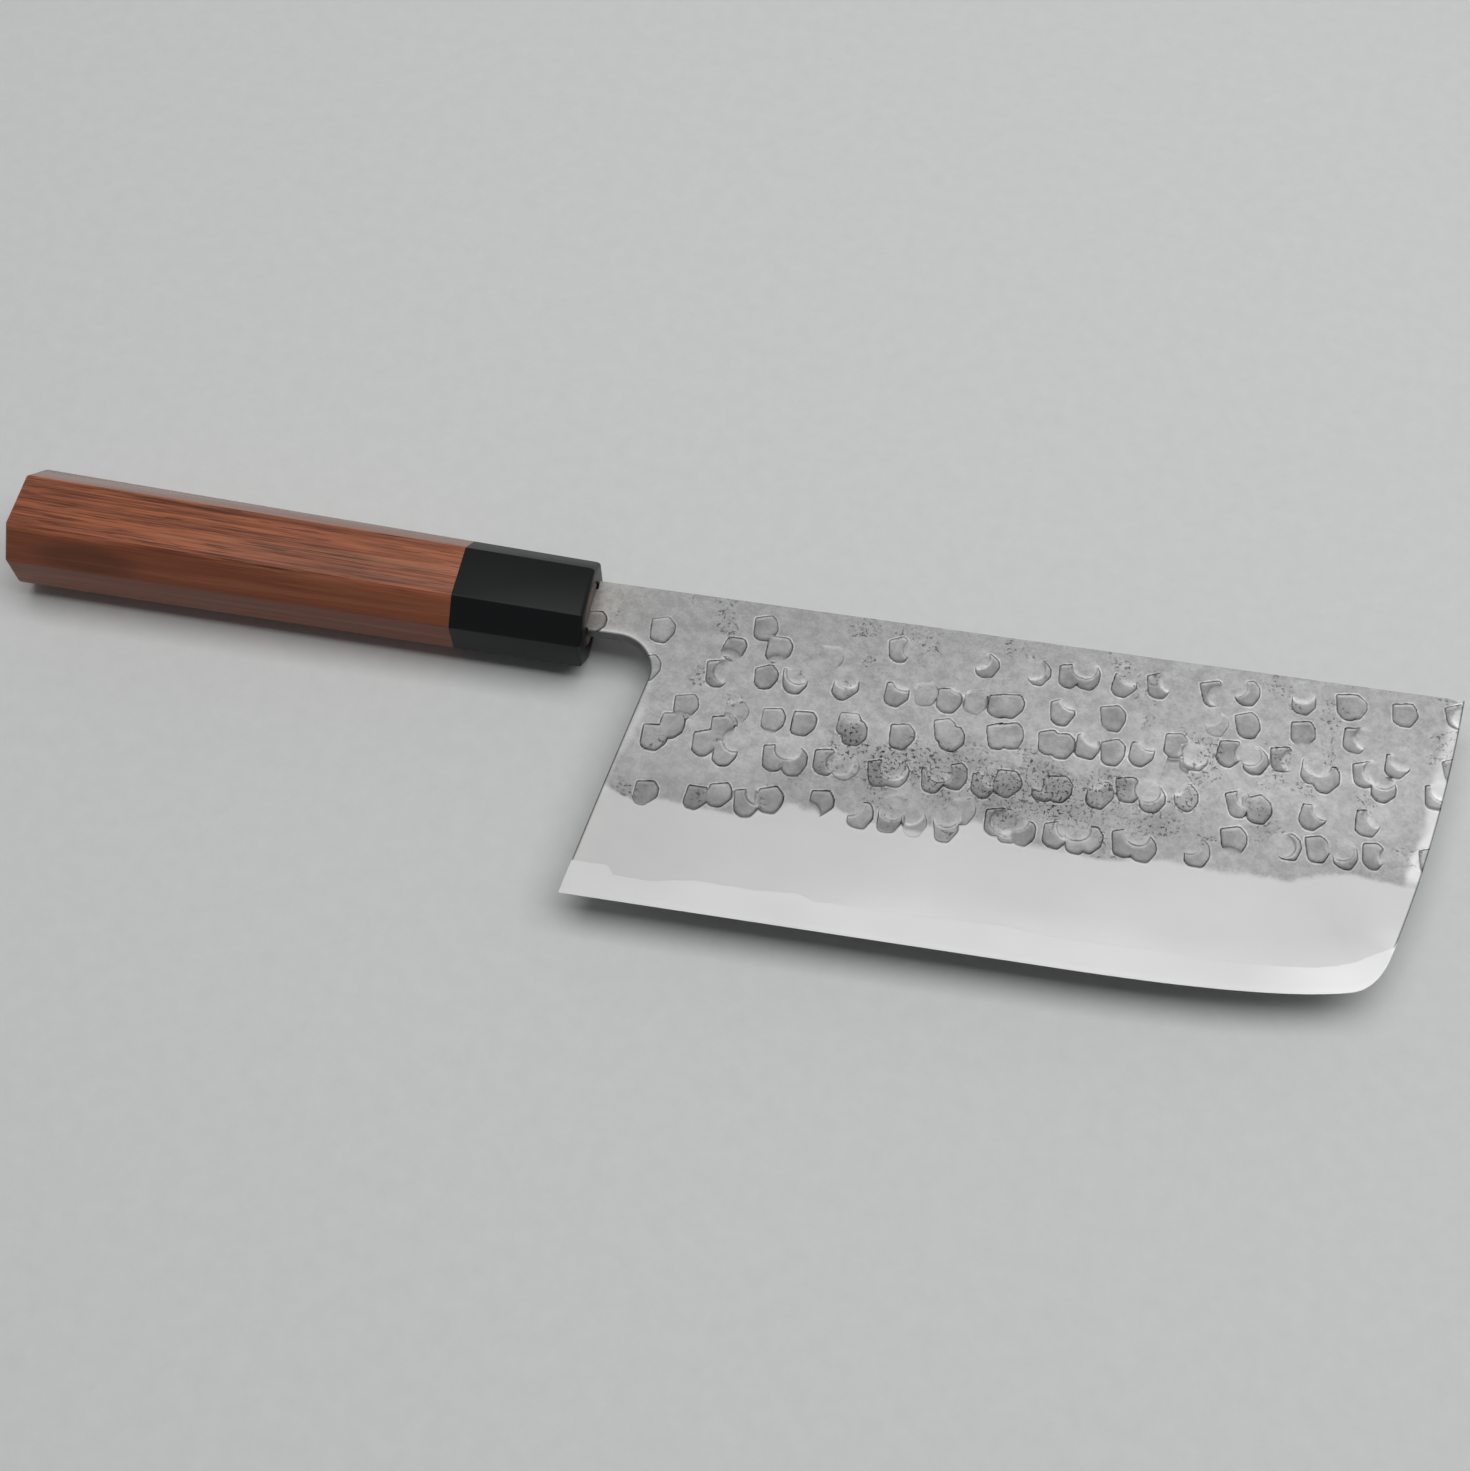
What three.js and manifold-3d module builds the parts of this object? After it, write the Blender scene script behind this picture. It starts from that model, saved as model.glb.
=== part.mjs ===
// Nakiri: a straight-edged vegetable knife with a laminated, hammered blade and an octagonal handle.
// Millimetres. The knife lies on its left side, +X to the tip, +Y to the spine and +Z up.
// It is drawn about the middle of the ferrule's front face, and the whole is then set down so that the
// origin is under the centre of its box, on the table.

import * as THREE from 'three';
import { mergeVertices } from 'three/addons/utils/BufferGeometryUtils.js';
import Module from 'manifold-3d';

const { degToRad, lerp } = THREE.MathUtils;

// Handle: an octagon that tapers from the butt to the front, with rounded ends
const WOOD_LENGTH = 101.8;
const FERRULE_LENGTH = 29.2;
const BUTT_HEIGHT = 25.3;
const BUTT_THICKNESS = 20.9;
const BUTT_CORNER = 6.1;
const FRONT_HEIGHT = 22.3;
const FRONT_THICKNESS = 18.6;
const FRONT_CORNER = 5.0;
const BUTT_ROUND = 1.3;
const FRONT_ROUND = 1.0;
const ROUND_STEPS = 3;

// Dowel that joins ferrule and body
const DOWEL_DIAMETER = 14.4;
const DOWEL_LENGTH = 90;
const DOWEL_RECESS = 0.3;
const DOWEL_CLEARANCE = 0.2;
const DOWEL_END_GAP = 0.5;
const DOWEL_SIDES = 24;

// Tang, which lies along the handle's axis in a slot of the dowel
const TANG_LENGTH = 80;
const TANG_HEIGHT = 10;
const TANG_END_HEIGHT = 6;
const TANG_OFFSET = 0.8;
const TANG_CLEARANCE = 0.3;

// Blade outline, measured along the spine from the ferrule and square to it
const SPINE_ABOVE_AXIS = 8.1;
const SPINE_RISE = degToRad(1.34);
const SPINE_LENGTH = 189.6;
const BLADE_HEIGHT = 74.6;
const NECK_GAP = 0.2;
const NECK_HEIGHT = 12.9;
const HEEL_REACH = 6.1;
const HEEL_LEAN = degToRad(10);
const CHOIL_RADIUS = 8.5;
const CHOIL_STEPS = 8;
const CORNER_SETBACK = 14.9;
const CORNER_LENGTH = 8.2;
const CORNER_RISE = 9.6;
const CORNER_TANGENT = 5.6;
const SWEEP_LENGTH = 56.4;
const SWEEP_RISE = 4.2;
const SWEEP_TANGENT = 15.7;
const TIP_TANGENT = 30;
const CURVE_STEPS = 6;

// Blade section: two claddings on a hard core, nearly flat above and ground to the edge below.
// The ridge between flat and bevel meets the tip line at its own height under the spine.
const SPINE_THICKNESS = 3.0;
const TIP_THICKNESS = 2.4;
const FLAT_LOSS = 0.3;
const CORE_THICKNESS = 0.84;
const EDGE_THICKNESS = 0.12;
const BEVEL_WIDTH = 27.3;
const RIDGE_AT_TIP = 42.5;
const RIDGE_TANGENT = 8;

// Hammer marks: rows of shallow eight-sided dents over the flat part of both faces
const DENT_DIAMETER = 5.8;
const DENT_WALL = 0.5;
const DENT_DEPTH = 0.18;
const DENT_SIDES = 8;
const DENT_SPREAD = 0.15;
const DENT_SCATTER = 0.7;
const DENT_GAP = 0.4;
const RIGHT_SEED = 11;
const LEFT_SEED = 47;

// Points closer than this are one
const WELD = 1e-4;

const wasm = await Module();
wasm.setup();

// Closed geometry as a solid for joining and cutting
function solid(geometry) {
  const bare = geometry.clone();
  bare.deleteAttribute('normal');
  bare.deleteAttribute('uv');
  const welded = mergeVertices(bare, WELD);
  return new wasm.Manifold(new wasm.Mesh({
    numProp: 3,
    vertProperties: new Float32Array(welded.attributes.position.array),
    triVerts: new Uint32Array(welded.index.array),
  }));
}

// A solid back as geometry
function geometryOf(body) {
  const { vertProperties, triVerts } = body.getMesh();
  const geometry = new THREE.BufferGeometry();
  geometry.setAttribute('position', new THREE.BufferAttribute(vertProperties, 3));
  geometry.setIndex(new THREE.BufferAttribute(triVerts, 1));
  geometry.computeVertexNormals();
  return geometry;
}

// The same shape on the other side of the blade's middle plane
function mirrored(geometry) {
  const copy = geometry.clone().scale(1, 1, -1);
  const corners = copy.index.array;
  for (let i = 0; i < corners.length; i += 3) {
    const first = corners[i];
    corners[i] = corners[i + 1];
    corners[i + 1] = first;
  }
  return copy;
}

// Skin through rings of points, with further points and the faces that close it
function skin(rings, morePoints, closingFaces) {
  const count = rings[0].length;
  const corners = [...closingFaces];
  for (let r = 0; r + 1 < rings.length; r += 1) {
    for (let i = 0; i < count; i += 1) {
      const here = r * count + i;
      const next = r * count + ((i + 1) % count);
      corners.push(here, next, next + count);
      corners.push(here, next + count, here + count);
    }
  }
  const geometry = new THREE.BufferGeometry().setFromPoints([...rings.flat(), ...morePoints]);
  geometry.setIndex(corners);
  geometry.computeVertexNormals();
  return geometry;
}

// Closed skin through convex rings that follow each other along +X, each running from +Y to +Z
function loft(rings) {
  const last = (rings.length - 1) * rings[0].length;
  const ends = [];
  for (let i = 1; i + 1 < rings[0].length; i += 1) {
    ends.push(0, i + 1, i);
    ends.push(last, last + i, last + i + 1);
  }
  return skin(rings, [], ends);
}

// Handle section at x, drawn in by an inset on every side
const buttX = -(WOOD_LENGTH + FERRULE_LENGTH);
function octagon(x, inset) {
  const share = 1 - x / buttX;
  const height = lerp(BUTT_HEIGHT, FRONT_HEIGHT, share) / 2 - inset;
  const thickness = lerp(BUTT_THICKNESS, FRONT_THICKNESS, share) / 2 - inset;
  const corner = lerp(BUTT_CORNER, FRONT_CORNER, share) - inset * (2 - Math.SQRT2);
  const quarter = [[height, thickness - corner], [height - corner, thickness]];
  const half = [...quarter, ...quarter.map(([y, z]) => [-y, z]).reverse()];
  const whole = [...half, ...half.map(([y, z]) => [-y, -z])];
  return whole.map(([y, z]) => new THREE.Vector3(x, y, z));
}

// Rings of a rounded end, from its end face to the full section
function roundedEnd(endX, inward, radius) {
  const rings = [];
  for (let step = 0; step <= ROUND_STEPS; step += 1) {
    const angle = (step / ROUND_STEPS) * (Math.PI / 2);
    const depth = radius * (1 - Math.cos(angle));
    rings.push(octagon(endX + inward * depth, radius * (1 - Math.sin(angle))));
  }
  return rings;
}

// Round bar or hole along the handle's axis
function rod(diameter, fromX, toX) {
  const geometry = new THREE.CylinderGeometry(diameter / 2, diameter / 2, toX - fromX, DOWEL_SIDES);
  geometry.rotateZ(Math.PI / 2);
  return solid(geometry.translate((fromX + toX) / 2, 0, 0));
}

// Handle pieces
const jointX = -FERRULE_LENGTH;
const dowelEndX = -(DOWEL_RECESS + DOWEL_LENGTH);
const boreDiameter = DOWEL_DIAMETER + 2 * DOWEL_CLEARANCE;

function handleBody() {
  const block = solid(loft([...roundedEnd(buttX, 1, BUTT_ROUND), octagon(jointX, 0)]));
  return geometryOf(block.subtract(rod(boreDiameter, dowelEndX - DOWEL_END_GAP, 0)));
}

function ferrule() {
  const block = solid(loft([octagon(jointX, 0), ...roundedEnd(0, -1, FRONT_ROUND).reverse()]));
  return geometryOf(block.subtract(rod(boreDiameter, buttX, FERRULE_LENGTH)));
}

function dowel() {
  const slot = new THREE.BoxGeometry(
    2 * (TANG_LENGTH + TANG_CLEARANCE),
    TANG_HEIGHT + 2 * TANG_CLEARANCE,
    flatThickness(new THREE.Vector2(-TANG_LENGTH, 0)) + 2 * TANG_CLEARANCE,
  );
  slot.translate(0, TANG_OFFSET, 0);
  return geometryOf(rod(DOWEL_DIAMETER, dowelEndX, -DOWEL_RECESS).subtract(solid(slot)));
}

// Points of the blade are given along the spine and up from it. This sets one in the knife.
const spineStart = new THREE.Vector2(0, SPINE_ABOVE_AXIS);
function inKnife(point) {
  return point.clone().add(spineStart).rotateAround(spineStart, SPINE_RISE);
}

// The point a length further on from b, in the direction from a to b
function carryOn(a, b, length) {
  return b.clone().sub(a).setLength(length).add(b);
}

// Cutting edge: straight from the heel, then a slow upward sweep, then the rounded corner under the tip
const cornerEnd = new THREE.Vector2(SPINE_LENGTH - CORNER_SETBACK, SWEEP_RISE + CORNER_RISE - BLADE_HEIGHT);
const sweepEnd = new THREE.Vector2(cornerEnd.x - CORNER_LENGTH, SWEEP_RISE - BLADE_HEIGHT);
const sweepControl = new THREE.Vector2(sweepEnd.x - SWEEP_TANGENT, -BLADE_HEIGHT);
const sweepStart = new THREE.Vector2(sweepEnd.x - SWEEP_LENGTH, -BLADE_HEIGHT);
const cornerControl = carryOn(sweepControl, sweepEnd, CORNER_TANGENT);
const tip = new THREE.Vector2(SPINE_LENGTH, 0);
const heel = new THREE.Vector2(HEEL_REACH, -BLADE_HEIGHT);
const sweep = new THREE.QuadraticBezierCurve(sweepStart, sweepControl, sweepEnd);
const corner = new THREE.QuadraticBezierCurve(sweepEnd, cornerControl, cornerEnd);
const tipControl = carryOn(cornerControl, cornerEnd, TIP_TANGENT);
const tipLine = new THREE.QuadraticBezierCurve(cornerEnd, tipControl, tip);
const edge = [heel, ...sweep.getPoints(CURVE_STEPS), ...corner.getPoints(CURVE_STEPS).slice(1)];

// How far along the spine the heel line lies at a height
function heelAlong(up) {
  return HEEL_REACH + (BLADE_HEIGHT + up) * Math.tan(HEEL_LEAN);
}

// Ridge between flat and bevel: a bevel's width above the edge, then on to the tip line
const ridgeTipShare = 1 + RIDGE_AT_TIP / cornerEnd.y;
const ridgeStart = new THREE.Vector2(heelAlong(BEVEL_WIDTH - BLADE_HEIGHT), BEVEL_WIDTH - BLADE_HEIGHT);
const sweepRidge = sweep.getPoints(CURVE_STEPS).map((point, i) => {
  const direction = sweep.getTangent(i / CURVE_STEPS);
  return new THREE.Vector2(-direction.y, direction.x).multiplyScalar(BEVEL_WIDTH).add(point);
});
const ridgeTurn = sweepRidge.at(-1);
const ridgeControl = ridgeTurn.clone().addScaledVector(sweep.getTangent(1), RIDGE_TANGENT);
const tipRidge = new THREE.QuadraticBezierCurve(ridgeTurn, ridgeControl, tipLine.getPoint(ridgeTipShare));
const ridge = [ridgeStart, ...sweepRidge, ...tipRidge.getPoints(CURVE_STEPS).slice(1)];

// Thickness of the flat, which thins a little towards the tip and towards the edge
function flatThickness(point) {
  const towardsTip = (TIP_THICKNESS - SPINE_THICKNESS) * (point.x / SPINE_LENGTH);
  const towardsEdge = FLAT_LOSS * (point.y / (BLADE_HEIGHT - BEVEL_WIDTH));
  return SPINE_THICKNESS + towardsTip + towardsEdge;
}

// Line along which the bevel cuts through the cladding into the core
const laminationLine = edge.map((point, i) => {
  const share = (CORE_THICKNESS - EDGE_THICKNESS) / (flatThickness(ridge[i]) - EDGE_THICKNESS);
  return point.clone().lerp(ridge[i], share);
});

// Choil: the arc between the underside of the neck and the heel line
function choil() {
  const turn = Math.PI / 2 + HEEL_LEAN;
  const centreAlong = heelAlong(-NECK_HEIGHT) - CHOIL_RADIUS * Math.tan(turn / 2);
  const points = [];
  for (let step = 0; step <= CHOIL_STEPS; step += 1) {
    const angle = Math.PI / 2 - (step / CHOIL_STEPS) * turn;
    points.push(new THREE.Vector2(
      centreAlong + CHOIL_RADIUS * Math.cos(angle),
      CHOIL_RADIUS * (Math.sin(angle) - 1) - NECK_HEIGHT,
    ));
  }
  return points;
}

// Tip line above the end of the ridge
function upperTipLine() {
  const points = [];
  for (let step = 1; step <= CURVE_STEPS; step += 1) {
    points.push(tipLine.getPoint(lerp(ridgeTipShare, 1, step / CURVE_STEPS)));
  }
  return points;
}

// Outline of tang and blade in one, with a line of its own along the edge, in the blade's directions
function outline(lowerLine) {
  const tang = (x, y) => new THREE.Vector2(x, y).rotateAround(spineStart, -SPINE_RISE).sub(spineStart);
  return [
    tang(-TANG_LENGTH, TANG_OFFSET - TANG_END_HEIGHT / 2),
    tang(NECK_GAP, TANG_OFFSET - TANG_HEIGHT / 2),
    tang(NECK_GAP, SPINE_ABOVE_AXIS - NECK_HEIGHT),
    ...choil(),
    ...lowerLine,
    ...upperTipLine(),
    tang(NECK_GAP, SPINE_ABOVE_AXIS),
    tang(NECK_GAP, TANG_OFFSET + TANG_HEIGHT / 2),
    tang(-TANG_LENGTH, TANG_OFFSET + TANG_END_HEIGHT / 2),
  ];
}

// A ring of points with a thickness at each
function level(lowerLine, thicknessAt) {
  return outline(lowerLine).map((point) => {
    const { x, y } = inKnife(point);
    return new THREE.Vector3(x, y, thicknessAt(point) / 2);
  });
}

// Closed skin through rings of points that follow each other along +Z, each counter-clockwise from above.
// Pockets sink into the top face, each with a rim on that face and a floor under it.
function plate(rings, pockets) {
  const ringPoints = rings.length * rings[0].length;
  const top = ringPoints - rings[0].length;
  const rims = pockets.map((pocket) => pocket.rim);
  const floors = pockets.map((pocket) => pocket.floor);
  const corners = [];
  for (const [a, b, c] of THREE.ShapeUtils.triangulateShape(rings[0], [])) {
    corners.push(c, b, a);
  }
  for (const [a, b, c] of THREE.ShapeUtils.triangulateShape(rings.at(-1), rims)) {
    corners.push(top + a, top + b, top + c);
  }
  const rimToFloor = rims.flat().length;
  rims.forEach((rim, k) => {
    const first = ringPoints + k * rim.length;
    rim.forEach((_, i) => {
      const here = first + i;
      const next = first + ((i + 1) % rim.length);
      corners.push(here, next, next + rimToFloor);
      corners.push(here, next + rimToFloor, here + rimToFloor);
      if (i > 1) {
        corners.push(first + rimToFloor, here - 1 + rimToFloor, here + rimToFloor);
      }
    });
  });
  return skin(rings, [...rims.flat(), ...floors.flat()], corners);
}

// Hard core, which comes to the surface along the edge
function coreSteel() {
  return plate([
    level(laminationLine, () => -CORE_THICKNESS),
    level(edge, () => -EDGE_THICKNESS),
    level(edge, () => EDGE_THICKNESS),
    level(laminationLine, () => CORE_THICKNESS),
  ], []);
}

// Even random numbers from 0 to 1, each got from the last by a fixed factor and a prime modulus
function seededRandom(seed) {
  const factor = 16807;
  const modulus = 2147483647;
  let state = seed;
  return () => {
    state = (state * factor) % modulus;
    return state / modulus;
  };
}

// One hammer mark: its rim on the flat, and a smaller floor under it
function dent(place, diameter, turn) {
  const ring = (radius, depth) => {
    const points = [];
    for (let side = 0; side < DENT_SIDES; side += 1) {
      const angle = turn + (side / DENT_SIDES) * 2 * Math.PI;
      const point = new THREE.Vector2(Math.cos(angle), Math.sin(angle)).multiplyScalar(radius).add(place);
      const { x, y } = inKnife(point);
      points.push(new THREE.Vector3(x, y, flatThickness(point) / 2 - depth));
    }
    return points;
  };
  return { rim: ring(diameter / 2, 0), floor: ring(diameter / 2 - DENT_WALL, DENT_DEPTH) };
}

// Height of the ridge at a distance along the spine
function ridgeUp(along) {
  const next = Math.max(1, ridge.findIndex((point) => point.x > along));
  const share = (along - ridge[next - 1].x) / (ridge[next].x - ridge[next - 1].x);
  return lerp(ridge[next - 1].y, ridge[next].y, share);
}

// All hammer marks of one face, in staggered rows that keep clear of each other and of the flat's borders
function dents(seed) {
  const random = seededRandom(seed);
  const spread = (amount) => amount * (2 * random() - 1);
  const largest = DENT_DIAMETER * (1 + DENT_SPREAD);
  const pitch = largest + 2 * DENT_SCATTER + DENT_GAP;
  const margin = largest / 2 + DENT_SCATTER + DENT_GAP;
  const lowest = BEVEL_WIDTH - BLADE_HEIGHT + margin;
  const gaps = Math.floor(-(lowest + margin) / pitch);
  const marks = [];
  for (let row = 0; row <= gaps; row += 1) {
    const up = lerp(-margin, lowest, row / gaps);
    const tipAlong = tipLine.getPoint(1 - up / cornerEnd.y).x;
    const first = heelAlong(up) + margin + (row % 2) * (pitch / 2);
    for (let along = first; along < tipAlong - margin; along += pitch) {
      const place = new THREE.Vector2(along + spread(DENT_SCATTER), up + spread(DENT_SCATTER));
      const mark = dent(place, DENT_DIAMETER * (1 + spread(DENT_SPREAD)), spread(Math.PI / DENT_SIDES));
      if (up > ridgeUp(along) + margin) {
        marks.push(mark);
      }
    }
  }
  return marks;
}

// Cladding of the right face: hammered on the flat and ground below the ridge
function cladding(seed) {
  return plate([
    level(laminationLine, () => CORE_THICKNESS),
    level(ridge, flatThickness),
  ], dents(seed));
}

// The named pieces, each with its own finish
function piece(name, geometry, color, roughness, metalness) {
  const mesh = new THREE.Mesh(geometry, new THREE.MeshStandardMaterial({ color, roughness, metalness }));
  mesh.name = name;
  return mesh;
}

const blade = new THREE.Group().add(
  piece('core_steel', coreSteel(), '#d4d6d6', 0.22, 1),
  piece('cladding_right', cladding(RIGHT_SEED), '#a3a4a2', 0.42, 1),
  piece('cladding_left', mirrored(cladding(LEFT_SEED)), '#a3a4a2', 0.42, 1),
);
const handle = new THREE.Group().add(
  piece('dowel', dowel(), '#a97f6e', 0.7, 0),
  piece('ferrule', ferrule(), '#15181a', 0.18, 0),
  piece('handle_body', handleBody(), '#73412f', 0.45, 0),
);
const knife = new THREE.Group().add(blade, handle);

// Set down on the table
const box = new THREE.Box3().setFromObject(knife);
const centre = box.getCenter(new THREE.Vector3());
knife.position.set(-centre.x, -centre.y, -box.min.z);

export default knife;
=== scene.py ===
import math
import random

import bpy
import numpy as np
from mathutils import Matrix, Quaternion, Vector, noise


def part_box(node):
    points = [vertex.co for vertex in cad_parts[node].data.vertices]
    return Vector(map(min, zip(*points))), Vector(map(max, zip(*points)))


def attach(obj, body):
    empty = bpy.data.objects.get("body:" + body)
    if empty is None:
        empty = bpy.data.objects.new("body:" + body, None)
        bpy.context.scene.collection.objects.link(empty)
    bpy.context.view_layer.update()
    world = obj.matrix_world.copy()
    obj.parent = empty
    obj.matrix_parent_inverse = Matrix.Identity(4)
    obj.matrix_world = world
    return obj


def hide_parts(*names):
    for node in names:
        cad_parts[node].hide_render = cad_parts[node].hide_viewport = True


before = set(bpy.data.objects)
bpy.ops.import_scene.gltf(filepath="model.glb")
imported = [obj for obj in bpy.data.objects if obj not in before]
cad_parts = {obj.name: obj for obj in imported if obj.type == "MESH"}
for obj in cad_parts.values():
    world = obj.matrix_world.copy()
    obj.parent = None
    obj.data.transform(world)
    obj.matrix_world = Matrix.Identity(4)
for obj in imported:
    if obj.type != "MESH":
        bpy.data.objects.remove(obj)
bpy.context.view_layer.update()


# Core of the blade: a plate of hard carbon steel that is forge-welded between two soft plates.
# It runs back through the tang, and shows only along the edge, where it is polished bright.
# Its points are given in millimetres, along the spine from the ferrule and up from the spine.

MM = 0.001
SPINE_ABOVE_AXIS = 8.1
SPINE_RISE = math.radians(1.34)
SPINE_LENGTH = 189.6
BLADE_HEIGHT = 74.6
NECK_START = 0.2
NECK_HEIGHT = 12.9
HEEL_REACH = 6.1
HEEL_LEAN = math.radians(10)
CHOIL_RADIUS = 8.5
SWEEP_LENGTH = 56.4
SWEEP_RISE = 4.2
SWEEP_TANGENT = 15.7
CORNER_SETBACK = 14.9
CORNER_LENGTH = 8.2
CORNER_RISE = 9.6
CORNER_TANGENT = 5.6
TIP_TANGENT = 30
TANG_LENGTH = 80
TANG_HEIGHT = 10
TANG_END_HEIGHT = 6
TANG_OFFSET = 0.8
SPINE_THICKNESS = 3.0
TIP_THICKNESS = 2.4
FLAT_LOSS = 0.3
CORE_THICKNESS = 0.84
EDGE_THICKNESS = 0.12
BEVEL_WIDTH = 27.3
RIDGE_AT_TIP = 42.5
RIDGE_TANGENT = 8
MICRO_BEVEL = 0.7
KEEN_SHARE = 0.25
FEATHER = 0.015
CURVE_STEPS = 20
POINT_GAP = 0.1
CORE_CREASE = math.radians(20)

# Grid of the core's plate: fine rows only over the bevel, which is all of its faces that shows
PLATE_HEIGHT = 2
CUT_MARGIN = 1
GRID_MARGIN = 1
NECK_MARGIN = 0.5
TANG_MIDDLE = -20
CORE_COLUMNS = 260
CORE_ROWS = 44
CORE_SHOWS = 24
HIDDEN_ROWS = [-30, -13]

# Finish: greys, clouds and scratches to the metre, and the places between which a painted reflection
# grows brighter
SIDE_SLOPE = 0.4
SIDE_DARK = 0.09
SIDE_PALE = 0.2
SIDE_CLOUDS = 500
CORE_GREY = 0.355
CORE_CLOUDS = 40
CLOUD_STRETCH = (0.8, 1, 1)
SCRATCHES = 900
SCRATCH_STRETCH = (0.03, 1, 1)
SCRATCH_DEPTH = 0.01 * MM
TIP_REFLECTION_FADE = (-20 * MM, 150 * MM)
CORNER_REFLECTION_FADE = (115 * MM, 140 * MM)

ferrule_low, ferrule_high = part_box("ferrule")
handle_front = Vector((ferrule_high.x, *((ferrule_low + ferrule_high) / 2).yz))


def point(along, up):
    return np.array([along, up], float)


def curve(start, control, end):
    """A smooth curve from start to end, without its first point."""
    share = np.linspace(0, 1, CURVE_STEPS + 1)[1:, None]
    return (1 - share) ** 2 * start + 2 * share * (1 - share) * control + share**2 * end


def carry_on(a, b, length):
    """The point a length further on from b, in the direction from a to b."""
    return b + (b - a) * (length / np.linalg.norm(b - a))


def heel_along(up):
    """How far along the spine the heel line lies at a height."""
    return HEEL_REACH + (BLADE_HEIGHT + up) * math.tan(HEEL_LEAN)


def distance_to(line, points):
    """The shortest distance from each of some points to a line through others."""
    start = line[:-1]
    step = np.diff(line, axis=0)
    offset = points[:, None] - start
    share = np.clip((offset * step).sum(2) / (step**2).sum(1), 0, 1)
    return np.linalg.norm(offset - share[..., None] * step, axis=2).min(1)


heel = point(HEEL_REACH, -BLADE_HEIGHT)
tip = point(SPINE_LENGTH, 0)
corner_end = point(SPINE_LENGTH - CORNER_SETBACK, SWEEP_RISE + CORNER_RISE - BLADE_HEIGHT)
sweep_end = point(corner_end[0] - CORNER_LENGTH, SWEEP_RISE - BLADE_HEIGHT)
sweep_start = point(sweep_end[0] - SWEEP_LENGTH, -BLADE_HEIGHT)
sweep_control = point(sweep_end[0] - SWEEP_TANGENT, -BLADE_HEIGHT)
corner_control = carry_on(sweep_control, sweep_end, CORNER_TANGENT)
tip_control = carry_on(corner_control, corner_end, TIP_TANGENT)
sweep = np.vstack([sweep_start, curve(sweep_start, sweep_control, sweep_end)])
edge = np.vstack([heel, sweep, curve(sweep_end, corner_control, corner_end)])
tip_line = np.vstack([corner_end, curve(corner_end, tip_control, tip)])

# The ridge lies a bevel's width above the edge, and then runs on to the tip line
sweep_slope = np.gradient(sweep, axis=0)
sweep_normal = sweep_slope[:, ::-1] * (-1, 1) / np.linalg.norm(sweep_slope, axis=1)[:, None]
sweep_ridge = sweep + BEVEL_WIDTH * sweep_normal
ridge_start = point(heel_along(BEVEL_WIDTH - BLADE_HEIGHT), BEVEL_WIDTH - BLADE_HEIGHT)
ridge_end = tip_line[np.argmin(abs(tip_line[:, 1] + RIDGE_AT_TIP))]
ridge_control = carry_on(sweep_ridge[-2], sweep_ridge[-1], RIDGE_TANGENT)
ridge = np.vstack([ridge_start, sweep_ridge, curve(sweep_ridge[-1], ridge_control, ridge_end)])


def over_ridge(points):
    """How far each point lies over the ridge. Below it, the bevel's width is reached at the edge."""
    to_edge = distance_to(edge, points)
    to_ridge = distance_to(ridge, points)
    above = points[:, 1] > np.interp(points[:, 0], ridge[:, 0], ridge[:, 1])
    return np.where(above, to_ridge, -BEVEL_WIDTH * to_ridge / (to_edge + to_ridge))


def flat_thickness(points):
    """The blade's thickness at each point if it had no bevel."""
    flat_height = BLADE_HEIGHT - BEVEL_WIDTH
    towards_tip = (TIP_THICKNESS - SPINE_THICKNESS) * points[:, 0] / SPINE_LENGTH
    towards_edge = FLAT_LOSS * np.maximum(points[:, 1], -flat_height) / flat_height
    return SPINE_THICKNESS + towards_tip + towards_edge


def half_thickness(points):
    """Half the blade's thickness at each point, from the flat over the ridge to the edge."""
    flat = flat_thickness(points)
    share = 1 + np.clip(over_ridge(points) / BEVEL_WIDTH, -1, 0)
    return (EDGE_THICKNESS + share * (flat - EDGE_THICKNESS)) / 2


def blade_outline(lower_line):
    """The outline of tang and blade in one, with a line of its own along the edge."""
    turn = math.pi / 2 + HEEL_LEAN
    angles = math.pi / 2 - np.linspace(0, turn, CURVE_STEPS + 1)
    choil_along = heel_along(-NECK_HEIGHT) - CHOIL_RADIUS * math.tan(turn / 2)
    choil = np.column_stack([np.cos(angles), np.sin(angles) - 1]) * CHOIL_RADIUS
    tang = np.array([
        (NECK_START, SPINE_ABOVE_AXIS),
        (NECK_START, TANG_OFFSET + TANG_HEIGHT / 2),
        (-TANG_LENGTH, TANG_OFFSET + TANG_END_HEIGHT / 2),
        (-TANG_LENGTH, TANG_OFFSET - TANG_END_HEIGHT / 2),
        (NECK_START, TANG_OFFSET - TANG_HEIGHT / 2),
        (NECK_START, SPINE_ABOVE_AXIS - NECK_HEIGHT),
    ]) - (0, SPINE_ABOVE_AXIS)
    cosine, sine = math.cos(SPINE_RISE), math.sin(SPINE_RISE)
    tang = tang @ np.array([[cosine, -sine], [sine, cosine]])
    upper_tip = tip_line[tip_line[:, 1] > lower_line[-1][1] + POINT_GAP]
    return np.vstack([tang, choil + (choil_along, -NECK_HEIGHT), lower_line, upper_tip])


def set_points(piece, points, heights):
    """Sets a piece's points in the knife: along and up the blade, and off its middle plane."""
    cosine, sine = math.cos(SPINE_RISE), math.sin(SPINE_RISE)
    across = points @ np.array([[cosine, sine], [-sine, cosine]]) + (0, SPINE_ABOVE_AXIS)
    places = np.column_stack([across, heights]) * MM + np.array(handle_front)
    piece.data.vertices.foreach_set("co", places.ravel())
    piece.data.update()


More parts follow.
